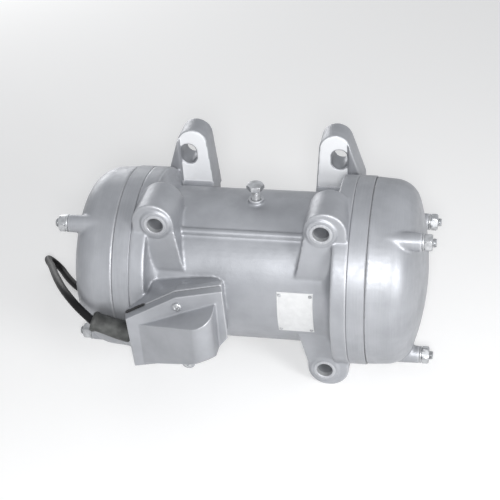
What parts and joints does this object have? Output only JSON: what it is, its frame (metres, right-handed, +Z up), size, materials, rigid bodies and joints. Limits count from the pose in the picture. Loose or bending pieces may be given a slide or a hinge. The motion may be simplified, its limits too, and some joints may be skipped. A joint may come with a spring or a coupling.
{
  "type": "vibration motor",
  "caption": "External vibration motor: cast barrel housing with slotted feet and bolt ears, domed end covers over eccentric weights, terminal box and supply cable.",
  "frame": {"origin": "under the middle of the motor's bounding box, on the surface that its lower lugs stand on, supply cable left out", "axes": "+X along the shaft, away from the terminal box; +Y out of the mounting faces of the slotted feet; +Z up"},
  "size_m": [0.5095, 0.431, 0.234],
  "materials": {
    "casting": "sand-cast aluminium alloy, sprayed silver-grey",
    "gasket": "matte",
    "zinc_steel": "dull zinc plate",
    "bearing_steel": "ground",
    "bearing_cage": "machined",
    "cap_iron": "machined",
    "shaft_steel": "turned",
    "weight_steel": "flame cut, machined bore",
    "laminations": "stacked sheet",
    "cage_aluminium": "cast",
    "winding": "enamelled copper, varnished",
    "plate_aluminium": "satin sheet",
    "board": "moulded",
    "terminal_brass": "plain",
    "sleeve_rubber": "matte",
    "cable_sheath": "satin",
    "core_copper": "bare stranded copper"
  },
  "bodies": {
    "frame": {"stator_housing": "casting", "terminal_lid": "casting", "end_shield_right": "casting", "end_shield_left": "casting", "end_cover_right": "casting", "end_cover_left": "casting", "cover_gasket_right": "gasket", "cover_gasket_left": "gasket", "terminal_gasket": "gasket", "cover_studs_right": "zinc_steel", "cover_studs_left": "zinc_steel", "cover_washers_right": "zinc_steel", "cover_washers_left": "zinc_steel", "cover_nuts_right": "zinc_steel", "cover_nuts_left": "zinc_steel", "top_bolt": "zinc_steel", "lid_screws": "zinc_steel", "board_screws": "zinc_steel", "cap_screws_right": "zinc_steel", "cap_screws_left": "zinc_steel", "bearing_outer_ring_right": "bearing_steel", "bearing_outer_ring_left": "bearing_steel", "bearing_cap_right": "cap_iron", "bearing_cap_left": "cap_iron", "stator_core": "laminations", "stator_winding": "winding", "name_plate": "plate_aluminium", "plate_rivets": "plate_aluminium", "terminal_board": "board", "terminal_studs": "terminal_brass", "terminal_nuts": "terminal_brass", "terminal_links": "terminal_brass", "earth_screw": "terminal_brass", "cable_sleeve": "sleeve_rubber", "cable_tail": "cable_sheath", "supply_cable": "cable_sheath", "cable_coil": "cable_sheath", "cable_cores": "core_copper"},
    "rotor": {"rotor_shaft": "shaft_steel", "rotor_core": "laminations", "rotor_cage": "cage_aluminium", "bearing_inner_ring_right": "bearing_steel", "bearing_inner_ring_left": "bearing_steel", "weight_spacer_right": "shaft_steel", "weight_spacer_left": "shaft_steel", "inner_weight_right": "weight_steel", "inner_weight_left": "weight_steel", "outer_weight_right": "weight_steel", "outer_weight_left": "weight_steel", "weight_keys": "shaft_steel", "pinch_bolts": "zinc_steel", "shaft_nut_right": "shaft_steel", "shaft_nut_left": "shaft_steel"},
    "rollers_right": {"bearing_rollers_right": "bearing_steel", "roller_cage_right": "bearing_cage"},
    "rollers_left": {"bearing_rollers_left": "bearing_steel", "roller_cage_left": "bearing_cage"}
  },
  "joints": [
    {"name": "rotor_spin", "type": "hinge", "parent": "frame", "child": "rotor", "pos_m": [0, 0.0255, 0.113], "axis": [1, 0, 0], "continuous": true},
    {"name": "rollers_right_spin", "type": "hinge", "parent": "frame", "child": "rollers_right", "pos_m": [0, 0.0255, 0.113], "axis": [1, 0, 0], "continuous": true},
    {"name": "rollers_left_spin", "type": "hinge", "parent": "frame", "child": "rollers_left", "pos_m": [0, 0.0255, 0.113], "axis": [1, 0, 0], "continuous": true}
  ],
  "couplings": [
    {"joint": "rollers_right_spin", "follows": "rotor_spin", "ratio": 0.4072},
    {"joint": "rollers_left_spin", "follows": "rotor_spin", "ratio": 0.4072}
  ]
}
